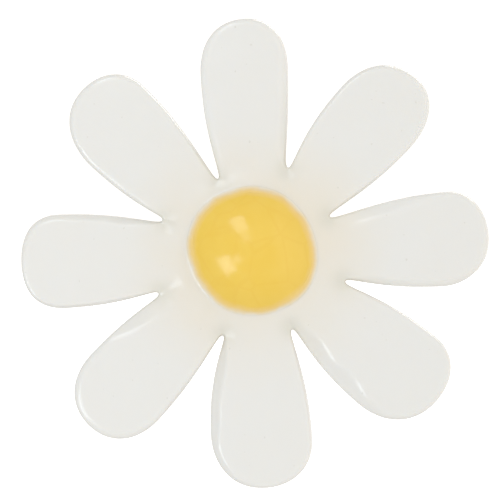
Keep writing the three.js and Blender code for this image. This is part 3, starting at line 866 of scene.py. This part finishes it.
def spring_line():
    """The wire's middle line: a leg on the flower arm, the coil round the pin, a leg under the jaw's tail."""
    rise = COIL_PITCH * COIL_TURN / (2 * math.pi)
    share = np.linspace(0, 1, 200)
    angle = -math.pi / 2 - COIL_TURN * share
    x, y = PIVOT_X + COIL_RADIUS * np.cos(angle), COIL_RADIUS * np.sin(angle)
    coil = np.stack([x, y, rise * (share - 0.5)], 1)
    out = np.linspace(LEG, 0.35, 20)[:, None]
    first = coil[0] + out * np.array([math.cos(LEG_LEAN), -math.sin(LEG_LEAN), 0])
    heading = TAIL_ANGLE + LEG_LEAN
    last = coil[-1] + out[::-1] * np.array([math.cos(heading), math.sin(heading), 0])
    return np.concatenate([first, coil, last])


def torsion_spring(material):
    line = spring_line()
    heading = np.gradient(line, axis=0)
    heading /= np.linalg.norm(heading, axis=1)[:, None]
    side = np.cross(heading[0], (0, 0, 1.0))
    angle = 2 * math.pi * np.arange(16) / 16
    end = len(line) - 1
    rings = [(0, 0.6, -0.048), (0, 0.88, -0.0144)]  # place along the line, size, and how far the end bulges
    rings += [(i, 1.0, 0) for i in range(1, end)] + [(end, 0.88, 0.0144), (end, 0.6, 0.048)]
    rows = []
    for i, size, bulge in rings:
        side = side - heading[i] * np.dot(side, heading[i])
        side /= np.linalg.norm(side)
        other = np.cross(heading[i], side)
        spoke = np.cos(angle)[:, None] * side + np.sin(angle)[:, None] * other
        rows.append(line[i] + heading[i] * bulge + WIRE * size * spoke)
    vertices, faces = capped(line[0] - heading[0] * 0.1, rows, line[-1] + heading[-1] * 0.1)
    return add_piece("coil_spring", vertices, faces, material)


BEAD_GAP = 0.02  # to the arm
BEAD_BACK = 0.12  # how deep the bead sinks into the flower's hollow back
BEAD_LIP = 0.3  # how high it stands up along the arm's edges


def mounting_bead(material):
    """Adhesive pressed flat between the flower and its arm, standing up a little along the arm's edges."""
    bead_low, bead_high = box_mm("mounting_adhesive")
    middle, long, wide = (bead_low.x + bead_high.x) / 2, (bead_high.x - bead_low.x) / 2, bead_high.z
    segments = 144
    angle = 2 * math.pi * np.arange(segments) / segments
    power = 0.62  # between an ellipse and a rectangle
    uneven = 0.97 - 0.03 * (np.sin(3 * angle + 1) + 0.6 * np.sin(5 * angle + 2.2) + 0.4 * np.sin(9 * angle))
    edge_x = long * np.sign(np.cos(angle)) * np.abs(np.cos(angle)) ** power * uneven
    edge_z = wide * np.sign(np.sin(angle)) * np.abs(np.sin(angle)) ** power * uneven
    back = np.full(segments, BACK_Y - BEAD_BACK)
    rows = []
    for share in (0.25, 0.5, 0.7, 0.78, 0.82, 0.86, 0.9, 0.94, 0.97, 0.99, 1.0):
        past_arm = np.abs(edge_z * share) - EDGE_Z
        rim = np.sqrt(np.clip(1 - (max(share - 0.7, 0) / 0.3) ** 2, 0, 1))
        height = (arm_low.y - BACK_Y - BEAD_GAP + BEAD_LIP * smooth_step((past_arm + 0.05) / 0.1)) * rim
        rows.append(np.stack([edge_x * share + middle, BACK_Y + height, edge_z * share], 1))
    rows.append(np.stack([edge_x * 0.98 + middle, back, edge_z * 0.98], 1))
    vertices, faces = capped((middle, arm_low.y - BEAD_GAP, 0), rows, (middle, back[0], 0))
    return add_piece("glue_bead", vertices, faces, material)


# ---------------------------------------------------------------- materials
# Lengths in this section are metres, as shaders have them.
def new_material(name):
    material = bpy.data.materials.new(name)
    material.use_nodes = True
    return material, material.node_tree, material.node_tree.nodes["Principled BSDF"]


def set_shader(tree, shader, values):
    """Gives the shader's inputs their values: a socket is linked, and anything else is set."""
    for name, value in values.items():
        if isinstance(value, bpy.types.NodeSocket):
            tree.links.new(value, shader.inputs[name])
        else:
            shader.inputs[name].default_value = value


def noise(tree, scale, detail=3.0, roughness=0.5, stretch=None):
    """Noise in the piece's own metres, so scale is features per metre."""
    where = tree.nodes.new("ShaderNodeTexCoord")
    made = tree.nodes.new("ShaderNodeTexNoise")
    made.inputs["Scale"].default_value = scale
    made.inputs["Detail"].default_value = detail
    made.inputs["Roughness"].default_value = roughness
    source = where.outputs["Object"]
    if stretch:
        mapping = tree.nodes.new("ShaderNodeMapping")
        mapping.inputs["Scale"].default_value = stretch
        tree.links.new(source, mapping.inputs["Vector"])
        source = mapping.outputs["Vector"]
    tree.links.new(source, made.inputs["Vector"])
    return made.outputs["Fac"]


def ramp(tree, source, low, high, to_low, to_high):
    """Maps source from low..high to to_low..to_high, clamped."""
    made = tree.nodes.new("ShaderNodeMapRange")
    made.interpolation_type = "SMOOTHSTEP"
    for name, value in (("From Min", low), ("From Max", high), ("To Min", to_low), ("To Max", to_high)):
        made.inputs[name].default_value = value
    tree.links.new(source, made.inputs["Value"])
    return made.outputs["Result"]


def mix(tree, share, first, second):
    """A colour between first and second, each a colour or a socket."""
    made = tree.nodes.new("ShaderNodeMix")
    made.data_type = "RGBA"
    tree.links.new(share, made.inputs["Factor"])
    for socket, value in ((made.inputs[6], first), (made.inputs[7], second)):
        if isinstance(value, tuple):
            socket.default_value = (*value, 1)
        else:
            tree.links.new(value, socket)
    return made.outputs[2]


def maths(tree, operation, first, second):
    made = tree.nodes.new("ShaderNodeMath")
    made.operation = operation
    for socket, value in zip(made.inputs, (first, second)):
        if isinstance(value, (int, float)):
            socket.default_value = value
        else:
            tree.links.new(value, socket)
    return made.outputs[0]


def radius_from_middle(tree):
    """Distance from the flower's axis, in metres."""
    where = tree.nodes.new("ShaderNodeTexCoord")
    flat = tree.nodes.new("ShaderNodeVectorMath")
    flat.operation = "MULTIPLY"
    flat.inputs[1].default_value = (1, 0, 1)
    tree.links.new(where.outputs["Object"], flat.inputs[0])
    length = tree.nodes.new("ShaderNodeVectorMath")
    length.operation = "LENGTH"
    tree.links.new(flat.outputs[0], length.inputs[0])
    return length.outputs["Value"]


def bumps(tree, shader, layers):
    """Layers of (height socket, depth in metres), chained into the shader's normal."""
    normal = None
    for height, depth in layers:
        bump = tree.nodes.new("ShaderNodeBump")
        bump.inputs["Strength"].default_value = 1.0
        bump.inputs["Distance"].default_value = depth
        tree.links.new(height, bump.inputs["Height"])
        if normal:
            tree.links.new(normal, bump.inputs["Normal"])
        normal = bump.outputs["Normal"]
    tree.links.new(normal, shader.inputs["Normal"])


# The third cream is a painted warm glow, standing in for the dome's yellow light scattered through the resin.
CREAM_COOL, CREAM_WARM, HUB_PAINTED_GLOW = (0.84, 0.835, 0.80), (0.84, 0.83, 0.79), (0.845, 0.795, 0.69)
# The second colour here is painted shade for the ends of the notches.
SPECK, NOTCH_PAINTED_SHADE = (0.60, 0.58, 0.50), (0.70, 0.685, 0.59)
DEEP_YELLOW, LIGHT_YELLOW, PEACH = (0.905, 0.615, 0.088), (0.915, 0.63, 0.10), (0.92, 0.66, 0.23)
CRAZE_LINE = (0.80, 0.42, 0.03)


def attribute(tree, name):
    made = tree.nodes.new("ShaderNodeAttribute")
    made.attribute_name = name
    return made.outputs["Fac"]


def resin_colours(tree, yellow=None):
    """The cast resin, nearly even, with a painted warm glow towards the middle that stands in for the dome's
    yellow light scattered through the resin, and a few specks; the dome's yellow bleeds into it at the rim."""
    radius = radius_from_middle(tree)
    cloud = noise(tree, 160, 4, 0.55)
    patch = noise(tree, 70, 2)
    colour = mix(tree, ramp(tree, cloud, 0.3, 0.7, 0, 1), CREAM_COOL, CREAM_WARM)
    # Painted warm glow near the middle: the dome's yellow light scattered through the resin, painted into the
    # colour.
    near_hub = ramp(tree, radius, 0.0088, 0.0205, 1, 0)
    tint = maths(tree, "MULTIPLY", near_hub, ramp(tree, patch, 0.3, 0.62, 0.45, 1))
    colour = mix(tree, tint, colour, HUB_PAINTED_GLOW)
    specks = ramp(tree, noise(tree, 1500, 1, 0.3), 0.785, 0.81, 0, 0.3)
    colour = mix(tree, specks, colour, SPECK)
    uneven = ramp(tree, noise(tree, 380, 3), 0.3, 0.7, -0.15, 0.15)
    outside = maths(tree, "ADD", attribute(tree, "dye"), uneven)
    dyed = mix(tree, ramp(tree, outside, -1.1, -0.1, 0, 1), yellow or LIGHT_YELLOW, PEACH)
    return mix(tree, ramp(tree, outside, -0.38, 0.62, 0, 1), dyed, colour), cloud


def cast_resin_finish(tree, shader, colour, cloud, translucent):
    values = {"Base Color": colour, "Roughness": ramp(tree, cloud, 0.3, 0.7, 0.17, 0.25), "IOR": 1.5}
    values |= {"Subsurface Weight": translucent, "Subsurface Radius": (1.0, 0.9, 0.75)}
    values |= {"Subsurface Scale": 0.0007, "Coat Weight": 0.35, "Coat Roughness": 0.1}
    set_shader(tree, shader, values)
    fine = noise(tree, 1300, 3)
    bumps(tree, shader, ((cloud, 0.00007), (fine, 0.000005)))


def cream_resin():
    material, tree, shader = new_material("cream_resin")
    colour, cloud = resin_colours(tree)
    # Painted shade: the resin is coloured darker round the end of each notch, where the surface falls away.
    colour = mix(tree, maths(tree, "MULTIPLY", attribute(tree, "notch"), 0.5), colour, NOTCH_PAINTED_SHADE)
    cast_resin_finish(tree, shader, colour, cloud, 0.25)
    return material


def craze_lines(tree):
    """How strongly a net of fine lines in the resin shows; 0 between them."""
    where = tree.nodes.new("ShaderNodeTexCoord")
    cells = tree.nodes.new("ShaderNodeTexVoronoi")
    cells.feature = "DISTANCE_TO_EDGE"
    cells.inputs["Scale"].default_value = 210
    tree.links.new(where.outputs["Object"], cells.inputs["Vector"])
    return ramp(tree, cells.outputs["Distance"], 0.01, 0.06, 0.13, 0)


def yellow_resin():
    material, tree, shader = new_material("yellow_resin")
    cloud = noise(tree, 260, 4, 0.55)
    yellow = mix(tree, ramp(tree, cloud, 0.35, 0.68, 0, 1), DEEP_YELLOW, LIGHT_YELLOW)
    lines = maths(tree, "MULTIPLY", craze_lines(tree), cloud)
    colour, _ = resin_colours(tree, mix(tree, lines, yellow, CRAZE_LINE))
    values = {"Base Color": colour, "Roughness": ramp(tree, cloud, 0.3, 0.7, 0.12, 0.2), "IOR": 1.5}
    values |= {"Subsurface Weight": 0.08, "Subsurface Radius": (1.0, 0.85, 0.5), "Subsurface Scale": 0.0005}
    set_shader(tree, shader, values)
    fine = noise(tree, 900, 3)
    bumps(tree, shader, ((cloud, 0.00004), (fine, 0.000004)))
    return material


def ring_adhesive():
    """White like the casting, with the dome's yellow bleeding into its inner side."""
    material, tree, shader = new_material("ring_adhesive")
    colour, cloud = resin_colours(tree)
    cast_resin_finish(tree, shader, colour, cloud, 0.0)
    return material


def bead_adhesive():
    """Set adhesive, cloudy where it lies thick."""
    material, tree, shader = new_material("bead_adhesive")
    cloud = noise(tree, 420, 4)
    colour = mix(tree, ramp(tree, cloud, 0.3, 0.7, 0, 1), (0.70, 0.67, 0.57), (0.80, 0.78, 0.71))
    values = {"Base Color": colour, "Roughness": ramp(tree, cloud, 0.3, 0.7, 0.1, 0.22), "IOR": 1.47}
    values |= {"Subsurface Weight": 0.4, "Subsurface Radius": (1.0, 0.8, 0.5), "Subsurface Scale": 0.001}
    set_shader(tree, shader, values)
    bumps(tree, shader, ((cloud, 0.00006),))
    return material


def edge_wear(tree, low, high):
    """How far a place stands out as an edge, broken up by noise."""
    shape = tree.nodes.new("ShaderNodeNewGeometry")
    edge = ramp(tree, shape.outputs["Pointiness"], low, high, 0, 1)
    return maths(tree, "MULTIPLY", edge, ramp(tree, noise(tree, 900, 3), 0.35, 0.6, 0.2, 1))


def plated_steel():
    """Bright plating over rolled sheet: long fine lines, faint clouding, and dulled edges."""
    material, tree, shader = new_material("plated_steel")
    cloud = noise(tree, 220, 4)
    rolled = noise(tree, 2600, 4, 0.6, (0.06, 1, 1))
    scratch = ramp(tree, noise(tree, 700, 2, 0.4, (0.25, 1.6, 1.6)), 0.68, 0.72, 0, 1)
    wear = edge_wear(tree, 0.52, 0.6)
    colour = mix(tree, ramp(tree, cloud, 0.3, 0.7, 0, 1), (0.62, 0.61, 0.59), (0.72, 0.71, 0.68))
    colour = mix(tree, wear, colour, (0.80, 0.78, 0.74))
    colour = mix(tree, maths(tree, "MULTIPLY", scratch, 0.4), colour, (0.5, 0.49, 0.47))
    rough = ramp(tree, rolled, 0.3, 0.7, 0.16, 0.3)
    rough = maths(tree, "ADD", rough, maths(tree, "MULTIPLY", wear, 0.12))
    set_shader(tree, shader, {"Base Color": colour, "Roughness": rough, "Metallic": 1})
    bumps(tree, shader, ((rolled, 0.000006), (cloud, 0.00002)))
    return material


def spring_steel():
    """Drawn wire: darker, with patches of dulled oil film."""
    material, tree, shader = new_material("spring_steel")
    cloud = noise(tree, 600, 4)
    fine = noise(tree, 4000, 2)
    colour = mix(tree, ramp(tree, cloud, 0.3, 0.7, 0, 1), (0.36, 0.35, 0.34), (0.52, 0.51, 0.49))
    rough = ramp(tree, cloud, 0.3, 0.7, 0.2, 0.38)
    set_shader(tree, shader, {"Base Color": colour, "Roughness": rough, "Metallic": 1})
    bumps(tree, shader, ((cloud, 0.00001), (fine, 0.000003)))
    return material


# ---------------------------------------------------------------- build
cream, yellow = cream_resin(), yellow_resin()
ring_glue, bead_glue = ring_adhesive(), bead_adhesive()
steel, wire = plated_steel(), spring_steel()

for piece, node, body in (
    (petal_casting(cream), "petal_flower", "flower_body"),
    (dome(yellow), "flower_centre", "flower_body"),
    (centre_ring(ring_glue), "centre_adhesive", "flower_body"),
    (mounting_bead(bead_glue), "mounting_adhesive", "flower_body"),
    (flower_arm(steel), "flower_arm", "flower_body"),
    (hinge_pin(steel), "hinge_pin", "flower_body"),
    (jaw_arm(steel), "jaw_arm", "jaw"),
):
    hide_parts(node)
    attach(piece, body)
coil = torsion_spring(wire)
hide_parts("torsion_spring")
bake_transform(coil)


# ---------------------------------------------------------------- studio
WINDOW_TINT = (0.9, 1.0, 1.13)
SKY_TINT = (1.025, 1, 0.965, 1)
SEEN_BRIGHTNESS = 1.1  # of the background as the camera sees it


def softbox(name, azimuth, off_axis, distance, across, outwards, radiance, tint=WINDOW_TINT):
    """A soft light that faces the flower: its direction as an angle round the flower's axis, anticlockwise
    from 3 o'clock, and an angle off that axis; its distance; its size across that direction, and outwards."""
    a, o = math.radians(azimuth), math.radians(off_axis)
    direction = Vector((math.sin(o) * math.cos(a), -math.cos(o), math.sin(o) * math.sin(a)))
    outward_side = Vector((math.cos(o) * math.cos(a), math.sin(o), math.cos(o) * math.sin(a)))
    light = bpy.data.lights.new(name, "AREA")
    light.shape = "RECTANGLE"
    light.size, light.size_y = across * MM, outwards * MM
    light.energy = radiance * math.pi * (across * MM) * (outwards * MM)
    light.color = tint
    lamp = bpy.data.objects.new(name, light)
    lamp.location = direction * distance * MM + Vector((0, -0.008, 0))
    axes = Matrix((outward_side.cross(direction), outward_side, direction))
    lamp.rotation_euler = axes.transposed().to_euler()
    lamp.visible_camera = False
    bpy.context.scene.collection.objects.link(lamp)


def studio():
    softbox("upper_window", 115.5, 41.5, 600, 185, 220, 2.6)
    softbox("upper_window_low", 117, 23, 600, 105, 160, 1.5)
    softbox("left_window", 209, 42, 600, 235, 235, 3.5)
    softbox("left_window_low", 206, 23.5, 600, 105, 110, 2.2)
    softbox("rear_softbox", 60, 130, 700, 400, 300, 2.0, (1, 1, 1))

    world = bpy.data.worlds.new("studio")
    world.use_nodes = True
    tree = world.node_tree
    background = tree.nodes["Background"]
    where = tree.nodes.new("ShaderNodeTexCoord")
    split = tree.nodes.new("ShaderNodeSeparateXYZ")
    tree.links.new(where.outputs["Generated"], split.inputs["Vector"])
    up = ramp(tree, split.outputs["Z"], -1, 1, 0.705, 0.71)
    right = ramp(tree, split.outputs["X"], 0.42, 0.62, 0, 0.35)
    left = ramp(tree, split.outputs["X"], -1.0, -0.65, -0.1, 0)
    soft = maths(tree, "ADD", up, maths(tree, "ADD", right, left))
    path = tree.nodes.new("ShaderNodeLightPath")
    seen = tree.nodes.new("ShaderNodeMix")
    seen.data_type = "FLOAT"
    tree.links.new(path.outputs["Is Camera Ray"], seen.inputs["Factor"])
    tree.links.new(soft, seen.inputs[2])
    seen.inputs[3].default_value = SEEN_BRIGHTNESS
    tree.links.new(seen.outputs[0], background.inputs["Strength"])
    background.inputs["Color"].default_value = SKY_TINT
    bpy.context.scene.world = world


def floor():
    """A pale, plain floor just under the lowest petal, in metres."""
    level = cad_box[0].z - 0.001
    mesh = bpy.data.meshes.new("studio_floor")
    corners = [(x, y, level) for x, y in ((-3, -3), (3, -3), (3, 3), (-3, 3))]
    mesh.from_pydata(corners, [], [(0, 1, 2, 3)])
    material, tree, shader = new_material("floor_white")
    shade = ramp(tree, noise(tree, 40, 2), 0.3, 0.7, 0.88, 0.9)
    colour = tree.nodes.new("ShaderNodeCombineColor")
    for k in range(3):
        tree.links.new(shade, colour.inputs[k])
    values = {"Base Color": colour.outputs[0], "Roughness": 0.9, "Specular IOR Level": 0.1}
    values |= {"Emission Color": (1, 1, 1, 1), "Emission Strength": 0.6}
    set_shader(tree, shader, values)
    mesh.materials.append(material)
    sweep = bpy.data.objects.new("studio_floor", mesh)
    bpy.context.scene.collection.objects.link(sweep)
    for rays in ("shadow", "glossy", "diffuse", "transmission"):
        setattr(sweep, "visible_" + rays, False)


def camera():
    lens = bpy.data.cameras.new("camera")
    lens.lens, lens.sensor_width = 150, 36
    lens.clip_start, lens.clip_end = 0.01, 10
    view = bpy.data.objects.new("camera", lens)
    view.location = (-0.000315, -0.2925, 0.00027)
    view.rotation_euler = (math.pi / 2, 0, 0)
    bpy.context.scene.collection.objects.link(view)
    bpy.context.scene.camera = view


studio()
floor()
camera()
bpy.context.scene.view_settings.view_transform = "Standard"
